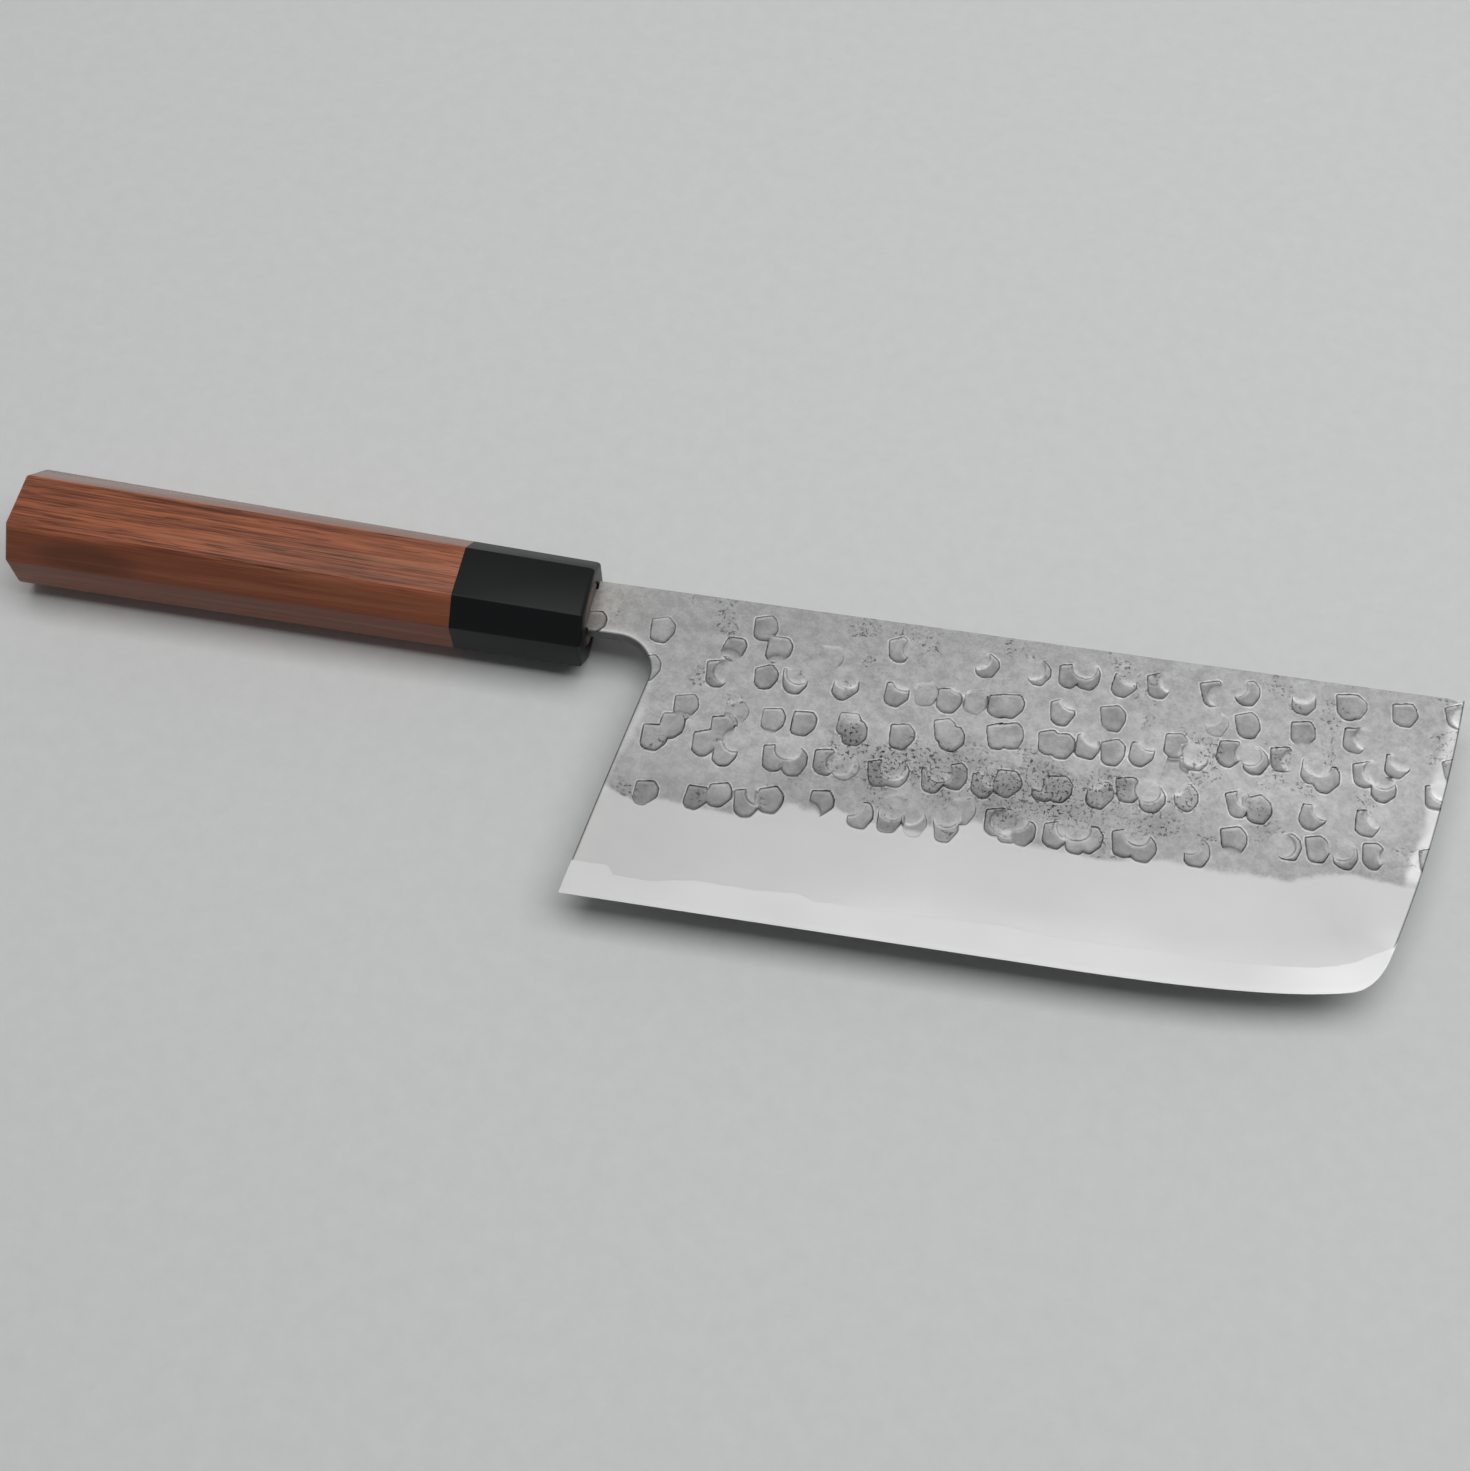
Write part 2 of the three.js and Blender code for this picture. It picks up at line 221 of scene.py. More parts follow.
def get_points(piece):
    places = np.empty(len(piece.data.vertices) * 3)
    piece.data.vertices.foreach_get("co", places)
    return places.reshape(-1, 3)


def start(piece, name):
    """Names a new piece and leaves it alone selected."""
    bpy.ops.object.select_all(action="DESELECT")
    piece.select_set(True)
    bpy.context.view_layer.objects.active = piece
    piece.name = name
    piece.data.name = name
    return piece


def apply_modifier(piece, kind, **settings):
    modifier = piece.modifiers.new(kind.title(), kind)
    for name, value in settings.items():
        setattr(modifier, name, value)
    bpy.ops.object.modifier_apply(modifier=modifier.name)


def raise_faces(height):
    """Extrudes all faces of the piece in hand straight up into a closed block."""
    bpy.ops.object.mode_set(mode="EDIT")
    bpy.ops.mesh.select_all(action="SELECT")
    bpy.ops.mesh.extrude_region_move(TRANSFORM_OT_translate={"value": (0, 0, height)})
    bpy.ops.mesh.normals_make_consistent(inside=False)
    bpy.ops.object.mode_set(mode="OBJECT")


def plate_columns(count):
    """Columns of a plate's grid: coarse over the tang and even over the blade."""
    tang = [-TANG_LENGTH - GRID_MARGIN, TANG_MIDDLE]
    return np.concatenate([tang, np.linspace(-NECK_MARGIN, SPINE_LENGTH + GRID_MARGIN, count)])


def plate(name, outline, columns, rows):
    """A flat plate on a grid of columns and rows, cut to an outline and still in millimetres."""
    bpy.ops.mesh.primitive_circle_add(vertices=len(outline), fill_type="NGON")
    cutter = start(bpy.context.object, "cutter")
    below = np.full(len(outline), -CUT_MARGIN)
    cutter.data.vertices.foreach_set("co", np.column_stack([outline, below]).ravel())
    raise_faces(PLATE_HEIGHT + 2 * CUT_MARGIN)
    bpy.ops.mesh.primitive_grid_add(
        x_subdivisions=len(columns) - 1,
        y_subdivisions=len(rows) - 1,
        size=1,
    )
    made = start(bpy.context.object, name)
    share = get_points(made) + 0.5
    along = np.interp(share[:, 0], np.linspace(0, 1, len(columns)), columns)
    up = np.interp(share[:, 1], np.linspace(0, 1, len(rows)), rows)
    made.data.vertices.foreach_set("co", np.column_stack([along, up, np.zeros(len(up))]).ravel())
    raise_faces(PLATE_HEIGHT)
    apply_modifier(made, "BOOLEAN", operation="INTERSECT", solver="MANIFOLD", object=cutter)
    bpy.data.objects.remove(cutter)
    return made


class Tone:
    """One output of a material's nodes. Sums and products of tones add nodes of their own."""

    def __init__(self, tree, socket=None):
        self.tree = tree
        self.socket = socket

    def node(self, kind, settings=None, inputs=None, output=0):
        """Any node: its settings first, then the values or tones of its sockets."""
        made = self.tree.nodes.new(kind)
        for name, value in (settings or {}).items():
            setattr(made, name, value)
        for place, value in (inputs or {}).items():
            if isinstance(value, Tone):
                self.tree.links.new(value.socket, made.inputs[place])
            else:
                made.inputs[place].default_value = value
        return Tone(self.tree, made.outputs[output])

    def maths(self, operation, *values):
        return self.node("ShaderNodeMath", {"operation": operation}, dict(enumerate(values)))

    def __add__(self, other):
        return self.maths("ADD", self, other)

    def __sub__(self, other):
        return self.maths("SUBTRACT", self, other)

    def __rsub__(self, other):
        return self.maths("SUBTRACT", other, self)

    def __mul__(self, other):
        return self.maths("MULTIPLY", self, other)

    __radd__ = __add__
    __rmul__ = __mul__

    def step(self, low, high):
        """A soft step from 0 at low to 1 at high."""
        return self.node(
            "ShaderNodeMapRange",
            {"interpolation_type": "SMOOTHSTEP"},
            {0: self, 1: low, 2: high, 3: 0, 4: 1},
        )

    def mix(self, low, high):
        """A colour between two, by this tone."""
        return self.node("ShaderNodeMix", {"data_type": "RGBA"}, {0: self, 6: low, 7: high}, 2)

    def cloud(self, scale, detail=3, roughness=0.5, stretch=(1, 1, 1), bend=0):
        """Noise over the piece, at so many clouds to the metre, drawn out by a stretch and bent."""
        places = self.node("ShaderNodeTexCoord", output=3)
        drawn = self.node("ShaderNodeMapping", inputs={"Vector": places, "Scale": stretch})
        shape = {"Scale": scale, "Detail": detail, "Roughness": roughness, "Distortion": bend}
        return self.node("ShaderNodeTexNoise", inputs={"Vector": drawn, **shape})

    def place(self, axis):
        """The place on the piece along an axis: 0, 1 or 2."""
        places = self.node("ShaderNodeTexCoord", output=3)
        return self.node("ShaderNodeSeparateXYZ", inputs={0: places}, output=axis)

    def away_from(self, place, size):
        """Distance from a place on the piece, in sizes along each axis."""
        places = self.node("ShaderNodeTexCoord", output=3)
        offset = self.node("ShaderNodeVectorMath", {"operation": "SUBTRACT"}, {0: places, 1: place})
        share = self.node("ShaderNodeVectorMath", {"operation": "DIVIDE"}, {0: offset, 1: size})
        return self.node("ShaderNodeVectorMath", {"operation": "LENGTH"}, {0: share}, 1)

    def seen(self, glossy_share=1):
        """1 for the camera's own look, a share for what gloss mirrors, and 0 for all other light."""
        glossy = self.node("ShaderNodeLightPath", output="Is Glossy Ray")
        return self.node("ShaderNodeLightPath", output="Is Camera Ray") + glossy * glossy_share

    def attribute(self, name):
        return self.node("ShaderNodeAttribute", {"attribute_name": name}, output=2)

    def bump(self, strength, depth):
        """A surface normal that follows this tone as a height, with a depth in metres."""
        inputs = {"Strength": strength, "Distance": depth, "Height": self}
        return self.node("ShaderNodeBump", inputs=inputs)

    def into(self, shader, place):
        self.tree.links.new(self.socket, shader.inputs[place])


def finish(name, **settings):
    """A new material's shader with its even values, and the tones to paint it with."""
    material = bpy.data.materials.new(name)
    material.use_nodes = True
    shader = material.node_tree.nodes["Principled BSDF"]
    for place, value in settings.items():
        shader.inputs[place.replace("_", " ")].default_value = value
    return material, shader, Tone(material.node_tree)


def paint(piece, material, side_material=None):
    """Gives a piece its material, and its upright faces another one if they have their own."""
    piece.data.materials.clear()
    piece.data.materials.append(material)
    if side_material:
        piece.data.materials.append(side_material)
        for face in piece.data.polygons:
            face.material_index = int(abs(face.normal.z) < SIDE_SLOPE)


def grey(level):
    return (level, level, level, 1)


def grinding_scratches(tones):
    """Fine scratches that the grinding leaves along the blade."""
    return tones.cloud(SCRATCHES, detail=2, stretch=SCRATCH_STRETCH)


def painted_tip_reflection(tones):
    """Painted reflection: how far the steel is painted brighter towards the tip."""
    return tones.place(0).step(*TIP_REFLECTION_FADE)


bevel_rows = np.linspace(-BLADE_HEIGHT - GRID_MARGIN, CORE_SHOWS - BLADE_HEIGHT, CORE_ROWS)
core_rows = np.concatenate([bevel_rows, HIDDEN_ROWS, [GRID_MARGIN]])
core = plate("core_plate", blade_outline(edge), plate_columns(CORE_COLUMNS), core_rows)
core_places = get_points(core)
core_points = core_places[:, :2]
core_half = np.minimum(CORE_THICKNESS / 2, half_thickness(core_points) - FEATHER)
thinned = np.clip(distance_to(edge, core_points) / MICRO_BEVEL, KEEN_SHARE, 1)
sharpened = np.minimum(core_half, EDGE_THICKNESS / 2 * thinned)
core_half = np.where(thinned < 1, sharpened, core_half)
set_points(core, core_points, np.where(core_places[:, 2] > PLATE_HEIGHT / 2, core_half, -core_half))
bpy.ops.object.shade_smooth_by_angle(angle=CORE_CREASE)

side_steel, shader, tones = finish("dark_sides", Metallic=1, Roughness=0.45)
tones.cloud(SIDE_CLOUDS, detail=4).mix(grey(SIDE_DARK), grey(SIDE_PALE)).into(shader, "Base Color")

material, shader, tones = finish("polished_core", Metallic=0.6)
clouds = tones.cloud(CORE_CLOUDS, stretch=CLOUD_STRETCH)
scratches = grinding_scratches(tones)
# Painted reflection: the core is painted brighter towards the tip and at the corner
painted_corner_reflection = tones.place(0).step(*CORNER_REFLECTION_FADE)
brightness = CORE_GREY + 0.1 * clouds + 0.01 * scratches + 0.05 * painted_tip_reflection(tones) + 0.1 * painted_corner_reflection
brightness.mix(grey(0), grey(1)).into(shader, "Base Color")
(0.38 + 0.04 * scratches).into(shader, "Roughness")
scratches.bump(0.1, SCRATCH_DEPTH).into(shader, "Normal")
paint(core, material, side_steel)
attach(core, "root")
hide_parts("core_steel")


# Claddings: two plates of soft iron, one on each face of the core. The smith's hammer has left many-sided
# marks on them, many half covered by a later, flatter blow, and scale and pits are still in the skin.
# Below the ridge they are ground clean, down to a feather edge on the core that wavers as the weld does.

# Sizes of the marks and of the later blows, and how much they vary
MARK_WALL = 0.45
MARK_DEPTH = 0.16
MARK_FORCE = (0.8, 1.2)
MARK_SIZE = (0.95, 1.05)
MARK_TURN = 0.18
MARK_TILT = 0.08
TILT_LIMIT = 4
MARK_SHARPNESS = 15
MARK_SPREAD = 8
SIDE_TURN = 0.1
SIDE_REACH = (0.94, 1.06)
SIDE_LIMIT = 3
FAINT_SHARE = 0.42
BLOW_REACH = 3.0
BLOW_SAUCER = 0.05
FIELD_LIMIT = 1.5

# Where a mark is fresh past its rim, worn by a newer mark, and smoothed over by a later blow
FRESH_STEP = (0.4, 1.2)
WORN_STEP = (-0.1, 0.6)
COVER_STEP = (BLOW_REACH - 1.6, BLOW_REACH + 0.5)
SMOOTHED_STEP = (BLOW_REACH - 0.8, BLOW_REACH + 0.2)
SUNK_STEP = (0.2, 0.6)
SUNK_RIM = 0.2

# The skin round the marks: broad saucers, long waves and fine grain, and eased edges
SKIN_BLOWS = 260
SKIN_BOTTOM = -52
SKIN_REACH = 4.2
SKIN_SPREAD = (0.7, 1.2)
SKIN_SAUCER = 0.05
SKIN_FORCE = (0.3, 1)
WAVE_DEPTH = 0.05
WAVE_SIZE = 14
GRAIN_DEPTH = 0.006
GRAIN_SIZE = 1.1
EASED_WIDTH = 0.35
EASED_DEPTH = 0.06

# Where the skin is rubbed bright along tip and heel, with a ragged border, and where pits lie thick
RAGGED_SIZE = 9
RAGGED_DETAIL = 2.6
TIP_RAGGED = 1.4
RUBBED_TIP = (1.4, 3.4)
RUBBED_BACK = (0.5, 2.4)
RUBBED_BACK_SHARE = 0.3
RUBBED_DOWN = (-6, 0)
TANG_CORNERS = 6
PITTED_SIZE = 9
PITTED_STEP = (0.3, 1.3)
PITTED_PLACE = (95, -36)
PITTED_REACH = (48, 9)

# Grid of a cladding's plate, fine over the flat
CLADDING_COLUMNS = 546
BEVEL_ROWS = 20
FLAT_ROWS = 150
FLAT_BOTTOM = -53
ROW_GAP = 0.4
SPINE_MARGIN = 0.6
CLADDING_CREASE = math.radians(50)

# Finish: clouds to the metre, greys, the neck's tint, and where the bevel blends into the core
GRAIN_CLOUDS = 1600
PATCH_CLOUDS = 170
SPOT_CLOUDS = 420
BROKEN_CLOUDS = 230
UNEVEN_CLOUDS = 150
NICK_CLOUDS = 1300
CLUSTER_CLOUDS = 110
BEVEL_CLOUDS = 35
WISP_CLOUDS = 60
WISP_STRETCH = (0.3, 1, 1)
SKIN_GREY = 0.14
BEVEL_GREY = 0.315
RUBBED_GREY = 0.62
NECK_TINT = (1.1, 1.07, 1.01, 1)
NECK_FADE = (handle_front.x, handle_front.x + 16 * MM)
BLEND_ALONG = (20 * MM, 50 * MM)
RELIEF_DEPTH = 0.18 * MM

# Borders in the finish, in millimetres: round a mark's rim, round a later blow, and of the ground steel
FLOOR_BORDER = (-0.24, 0.02)
WALL_BORDER = (0.06, 0.24)
LIP_START = (0.04, 0.16)
LIP_END = (0.22, 0.5)
BLOW_BORDER = (-0.3, 0.1)
RING_START = (-0.5, -0.1)
RING_END = (0, 0.4)
RING_IN_MARK = (-0.2, 0.1)
GROUND_BORDER = (-0.02, 0.05)
RIDGE_SHADE_BAND = (-0.75, -0.08)
NEAR_WELD = (0.55, 0.94)
EDGE_SHADE_BORDER = (0.16, 0.45)
FRESHNESS = (0.1, 1.05)

# Sides of one mark: the direction that each faces, from the tip's round to the spine's, and its distance
MARK_SIDES = [(0, 2.6), (38, 3.0), (102, 2.95), (180, 2.65), (226, 3.3), (270, 3.2), (324, 2.5)]

# Height of the weld line over the edge, at places along the spine, and how it wavers and ends
WELD_LINE = [
    (0, 7.4), (15, 7.5), (16.5, 5.6), (24, 5.4), (33, 7.0), (45, 6.8), (55, 7.5), (58, 6.4), (75, 6.6),
    (96, 7.3), (110, 6.4), (128, 6.8), (147, 5.9), (160, 5.6), (170, 6.6), (180, 6.4),
]
WELD_SPACING = 0.8
WELD_WAVER = 0.25
WAVER_SIZE = 2.5
WELD_CLEAR = 4
CORNER_MARGIN = 1
WELD_END = (0.3, 1.5)

# How far the grinding stops short of the ridge, at places along the spine
GROUND_SHORT = [
    (10, 1.3), (17, 4), (26, 2.7), (33, 4.6), (39, 4.6), (49, 0.3), (60, -0.3), (67, 1.6), (76, 0),
    (88, -2), (96, -1.6), (100, 1.3), (119, 1.5), (129, 0), (149, 1.5), (160, 2.4), (174, 3.4), (190, 4),
]
SHORT_REACH = 9

# Marks of the right face in the order of their blows, along the spine and down from it.
# Where a later and flatter blow has half covered a mark, the blow's place comes after the mark's own.
RIGHT_SEED = 11
RIGHT_MARKS = [
    (16.3, 10.2), (38.6, 6.2), (68.3, 6.7, 71.6, 6.4), (87.6, 7.8, 85.2, 6.0), (98.8, 7.8, 97.2, 6.7),
    (109.4, 7.2, 108.3, 4.9), (105.5, 7.4, 108.3, 4.9), (117.2, 7.8, 118.3, 4.7),
    (124.7, 6.8, 127.3, 5.2), (136.3, 6.8, 137.7, 7.2), (143.6, 5.5, 140.8, 4.2),
    (155.5, 5.9, 155.2, 3.2), (166.3, 5.2), (165.1, 5.3), (177, 5.5), (188.2, 4.2, 189.6, 4.4),
    (1.2, 10.6), (42.3, 10.9, 42.5, 15.2), (32.5, 12.4, 31.8, 15.4), (143.9, 13.4),
    (155.6, 13.5, 155.8, 18.2), (166.8, 13.4, 169.1, 12.6), (187.5, 17.5), (14.9, 20),
    (30.1, 19, 31.6, 18.4), (40.5, 18.2), (46.9, 18.1, 47.3, 16.3), (57.8, 18, 57.6, 15.5),
    (68.9, 17.9, 70.2, 14.3), (80.3, 17.7, 82.2, 12.9), (91, 17.2), (93.6, 16.9),
    (104.6, 16.6, 106.6, 13.2), (115.4, 16.3), (129, 20.8, 132.6, 22.2), (133.3, 23.2, 133, 22),
    (140.3, 20.9, 144.2, 20.4), (145.7, 21.8, 144.3, 20.4), (151.5, 20.4, 154, 20.6),
    (157.9, 22.2, 158.6, 19.8), (160.8, 23.8, 158.9, 20.3), (168.8, 21.2, 171, 20.3),
    (172.6, 24.3, 172.4, 21.4), (175.4, 18.2, 176.5, 16.1), (183.6, 24.2, 184.8, 22.4), (71.2, 27.9),
    (80.3, 25.1), (81.9, 26.8), (91.6, 24.6), (94.3, 24.2), (102.4, 24.4), (105.2, 24.6),
    (110.5, 24, 111.8, 20.9), (115.9, 24.6), (122, 23.9, 123.5, 20.3), (24.7, 28.1, 25, 32.6),
    (22.4, 33.3), (19.2, 36.7), (43.6, 28.5, 43.1, 33.8), (50.2, 28.3), (59.7, 27), (61.2, 28.8),
    (33.2, 32.1, 36.4, 34.8), (29.9, 36.2), (34.7, 37.7, 36.4, 34.7), (45.5, 37.2, 47.7, 34.7),
    (49.4, 37.6, 47.7, 34.7), (56.1, 36.6, 58.9, 36.4), (67.9, 37.2, 70.3, 35.6),
    (71.2, 37.2, 70.3, 35.6), (79, 37, 80.2, 34.9), (83.5, 35.6, 80.2, 34.9), (89.6, 36.5, 91.2, 34),
    (94.6, 35.6), (102.3, 35.4, 101.5, 33.6), (105.3, 35.1), (113.9, 35.1, 111.6, 31.4),
    (119.8, 32.9, 123.9, 32.6), (124.7, 34.3, 123.7, 32.4), (131.8, 32.8, 129.2, 29.6),
    (142.7, 32.4, 144.8, 30.4), (146.9, 33.1), (158, 33, 160.5, 30.8), (169.3, 32.6, 171.7, 30.5),
    (142.1, 41, 141.5, 45.3), (153.3, 40.7, 151.9, 40.6), (159.2, 40.1), (164.8, 40.7, 163.9, 39.3),
    (170.7, 39.9, 174.5, 39.9), (182.3, 39.2), (19.8, 49.8), (56.5, 46.4, 54, 49),
    (64.9, 47.8, 62.4, 45.6), (30.5, 49.2), (35.2, 47.8), (41.2, 48.7, 43.2, 46.2), (45.9, 47.2),
    (71.1, 47.9, 71.3, 45.2), (82.9, 47.9, 82.7, 45), (95.9, 46.3, 95.4, 45.2), (98.9, 46.3, 97, 43.4),
    (93.2, 44.7, 94.4, 44.7), (105.4, 45.7, 108.3, 43.7), (110.2, 46.4, 109.4, 43.6),
    (112.7, 45.7, 109.9, 43.6), (119.9, 45.2, 122.6, 42.8), (123.6, 46, 122.2, 42.8),
    (134.6, 45.2, 132.7, 43),
]
RIGHT_FAINT = [
    (53.6, 11.4, 52.4, 14), (35.5, 28.2, 35, 31.8), (75.1, 16.9), (86, 17.2), (60.6, 37.3), (72.3, 44.7),
    (76.4, 47.8, 75, 45.4), (86, 43.5), (129.3, 26.7), (137.3, 14.2, 135.4, 12),
]

# Marks of the left face, in rows with a scatter
LEFT_SEED = 47
ROW_COUNT = 7
ROW_PLACES = 24
ROW_PITCH = 7
FIRST_ROW = 5.5
MARK_PITCH = 7.4
HEEL_MARGIN = 4
TIP_MARGIN = 4
SCATTER = 2
LATER_OFFSET = (2, 4.2)
KEPT_CHANCE = 0.8
FAINT_CHANCE = 0.1
WHOLE_CHANCE = 0.38


def scattered_marks(seed):
    """Marks in staggered rows over a face, some with a later blow, and the faint ones among them."""
    draw = random.Random(seed)
    marks, faint = [], []
    for row in range(ROW_COUNT):
        for place in range(ROW_PLACES):
            down = FIRST_ROW + ROW_PITCH * row + draw.uniform(-SCATTER, SCATTER)
            along = heel_along(-down) + HEEL_MARGIN + MARK_PITCH * (place + row % 2 / 2)
            along += draw.uniform(-SCATTER, SCATTER)
            angle = draw.uniform(0, 2 * math.pi)
            offset = draw.uniform(*LATER_OFFSET)
            later = (along + offset * math.cos(angle), down + offset * math.sin(angle))
            chance = draw.random()
            if along < SPINE_LENGTH - TIP_MARGIN and chance < KEPT_CHANCE:
                kept = faint if chance < FAINT_CHANCE else marks
                kept.append((along, down) if chance < WHOLE_CHANCE else (along, down, *later))
    return marks, faint


def soft_step(values, low, high):
    share = np.clip((values - low) / (high - low), 0, 1)
    return share * share * (3 - 2 * share)


def clouds_over(points, size, seed):
    """Smooth noise from -1 to 1 over the blade, with clouds of a size."""
    return np.array([noise.noise((along / size, up / size, seed)) for along, up in points])


def strike(points, marks, faint, seed):
    """The hammer's work at each point: depth, distances to mark, rim and later blow, and freshness."""
    draw = random.Random(seed)
    depth = np.zeros(len(points))
    fresh = np.zeros(len(points))
    outside = np.full(len(points), FIELD_LIMIT)
    to_rim = np.full(len(points), FIELD_LIMIT)
    to_blow = np.full(len(points), FIELD_LIMIT)
    for _ in range(SKIN_BLOWS):
        middle = (draw.uniform(0, SPINE_LENGTH), draw.uniform(SKIN_BOTTOM, 0))
        share = 1 - ((points - middle) ** 2).sum(1) / (SKIN_REACH * draw.uniform(*SKIN_SPREAD)) ** 2
        depth = np.maximum(depth, SKIN_SAUCER * draw.uniform(*SKIN_FORCE) * share)
    blows = [(FAINT_SHARE, mark) for mark in faint] + [(1, mark) for mark in marks]
    for force, (along, down, *later) in blows:
        deep = force * draw.uniform(*MARK_FORCE)
        size = draw.uniform(*MARK_SIZE)
        turn = draw.uniform(-MARK_TURN, MARK_TURN)
        lean = draw.uniform(0, 2 * math.pi)
        near = np.flatnonzero(np.abs(points - (along, -down)).max(1) < MARK_SPREAD)
        offset = points[near] - (along, -down)
        out = np.zeros(len(near))
        for facing, reach in MARK_SIDES:
            angle = math.radians(facing) + turn + draw.uniform(-SIDE_TURN, SIDE_TURN)
            rim = reach * size * draw.uniform(*SIDE_REACH)
            across = offset @ (math.cos(angle), math.sin(angle)) / rim
            out += np.clip(across, 0, SIDE_LIMIT) ** MARK_SHARPNESS
        gap = (out ** (1 / MARK_SHARPNESS) - 1) * BLOW_REACH
        sunk = SUNK_RIM * soft_step(-outside[near], *SUNK_STEP) * fresh[near]
        to_rim[near] = np.minimum(np.maximum(to_rim[near], -gap), abs(gap) + sunk)
        to_blow[near] = np.maximum(to_blow[near], -gap)
        outside[near] = np.minimum(outside[near], gap)
        tilt = np.clip(offset @ (math.cos(lean), math.sin(lean)), -TILT_LIMIT, TILT_LIMIT)
        deep = deep * (1 + MARK_TILT * tilt)
        worn = fresh[near] * soft_step(gap, *WORN_STEP)
        fresh[near] = np.maximum(worn, deep * (1 - soft_step(gap, *FRESH_STEP)))
        inside = 1 - soft_step(gap, -MARK_WALL, 0)
        depth[near] = depth[near] * (1 - inside) + MARK_DEPTH * deep * inside
        if later:
            away = np.linalg.norm(points[near] - (later[0], -later[1]), axis=1)
            cover = 1 - soft_step(away, *COVER_STEP)
            saucer = BLOW_SAUCER * np.clip(1 - (away / BLOW_REACH) ** 2, 0, 1)
            depth[near] = depth[near] * (1 - cover) + saucer * cover
            fresh[near] *= soft_step(away, *SMOOTHED_STEP)
            to_blow[near] = np.minimum(to_blow[near], away - BLOW_REACH)
    return depth, outside, to_rim, to_blow, fresh


def weld_line():
    """The lower edge of a cladding: the weld line over the edge, and its end on the tip line."""
    along = np.arange(heel[0], corner_end[0], WELD_SPACING)
    over = np.interp(along, *zip(*WELD_LINE))
    over += [WELD_WAVER * noise.noise((place / WAVER_SIZE, 0, 0)) for place in along]
    edge_up = np.interp(along, edge[:, 0], edge[:, 1])
    line = np.column_stack([along, edge_up + over])
    line[:, 0] = np.maximum(line[:, 0], heel_along(line[:, 1]))
    line = line[(distance_to(edge, line) > WELD_CLEAR) & (line[:, 0] < corner_end[0] - CORNER_MARGIN)]
    return np.vstack([line, tip_line[:1] + WELD_END])


def cladding(name, side, marks, faint, seed, material):
    """One cladding, on the face of the blade that a side of 1 or -1 gives."""
    low_rows = np.linspace(-BLADE_HEIGHT, FLAT_BOTTOM - ROW_GAP, BEVEL_ROWS)
    high_rows = np.linspace(FLAT_BOTTOM, SPINE_MARGIN, FLAT_ROWS)
    rows = np.concatenate([low_rows, high_rows])
    made = plate(name, blade_outline(weld_line()), plate_columns(CLADDING_COLUMNS), rows)
    places = get_points(made)
    top = places[:, 2] > PLATE_HEIGHT / 2
    points = places[top, :2]
    inner = np.minimum(CORE_THICKNESS / 2, half_thickness(places[:, :2]) - FEATHER)

    # The forged skin, and the ground bevel that is cut into it
    over = over_ridge(points)
    flat = flat_thickness(points) / 2
    bevel = flat + over / BEVEL_WIDTH * (flat - EDGE_THICKNESS / 2)
    depth, outside, to_rim, to_blow, fresh = strike(points, marks, faint, seed)
    waves = WAVE_DEPTH * clouds_over(points, WAVE_SIZE, seed)
    waves += GRAIN_DEPTH * clouds_over(points, GRAIN_SIZE, seed + 1)
    short = np.interp(points[:, 0], *zip(*GROUND_SHORT)) * np.exp(-((over / SHORT_REACH) ** 2))
    forged = flat - depth + waves - short * flat / BEVEL_WIDTH
    back_line = blade_outline(edge)[TANG_CORNERS - 1 : TANG_CORNERS + CURVE_STEPS + 2]
    to_tip = distance_to(tip_line, points)
    to_back = distance_to(back_line, points)
    to_side = np.minimum(to_tip, to_back)
    eased = EASED_DEPTH * (1 - soft_step(to_side, 0, EASED_WIDTH))
    heights = inner.copy()
    heights[top] = np.maximum(np.minimum(forged, bevel) - eased, inner[top] + FEATHER)
    set_points(made, places[:, :2], side * heights)

    # What the finish reads at each point
    ragged = clouds_over(points, RAGGED_SIZE, seed + 2)
    ragged += 0.5 * clouds_over(points, RAGGED_DETAIL, seed + 3)
    rubbed = 1 - soft_step(to_tip + TIP_RAGGED * ragged, *RUBBED_TIP)
    rubbed += RUBBED_BACK_SHARE * (1 - soft_step(to_back + ragged, *RUBBED_BACK))
    rubbed *= soft_step(over, *RUBBED_DOWN)
    thick = np.exp(-(((points - PITTED_PLACE) / PITTED_REACH) ** 2).sum(1))
    pitted = soft_step(0.8 * clouds_over(points, PITTED_SIZE, seed + 4) + 1.2 * thick, *PITTED_STEP)
    fields = {
        "ground": forged - bevel,
        "outside": outside,
        "to_rim": to_rim,
        "fresh": fresh,
        "rubbed": rubbed,
        "pitted": pitted,
        "to_blow": to_blow,
        "to_side": to_side,
    }
    for kind, values in fields.items():
        whole = np.zeros(len(top))
        whole[top] = values
        made.data.attributes.new(kind, "FLOAT", "POINT").data.foreach_set("value", whole)

    # The grid on the hidden side becomes one face
    bpy.ops.object.mode_set(mode="EDIT")
    bpy.ops.mesh.select_all(action="DESELECT")
    bpy.ops.object.mode_set(mode="OBJECT")
    hidden = ~top & (inner > CORE_THICKNESS / 2 - FEATHER / 2)
    for face in made.data.polygons:
        face.select = all(hidden[corner] for corner in face.vertices)
    bpy.ops.object.mode_set(mode="EDIT")
    bpy.ops.mesh.dissolve_faces()
    if side < 0:
        bpy.ops.mesh.select_all(action="SELECT")
        bpy.ops.mesh.flip_normals()
    bpy.ops.object.mode_set(mode="OBJECT")
    bpy.ops.object.shade_smooth_by_angle(angle=CLADDING_CREASE)
    paint(made, material, side_steel)
    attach(made, "root")
    return made


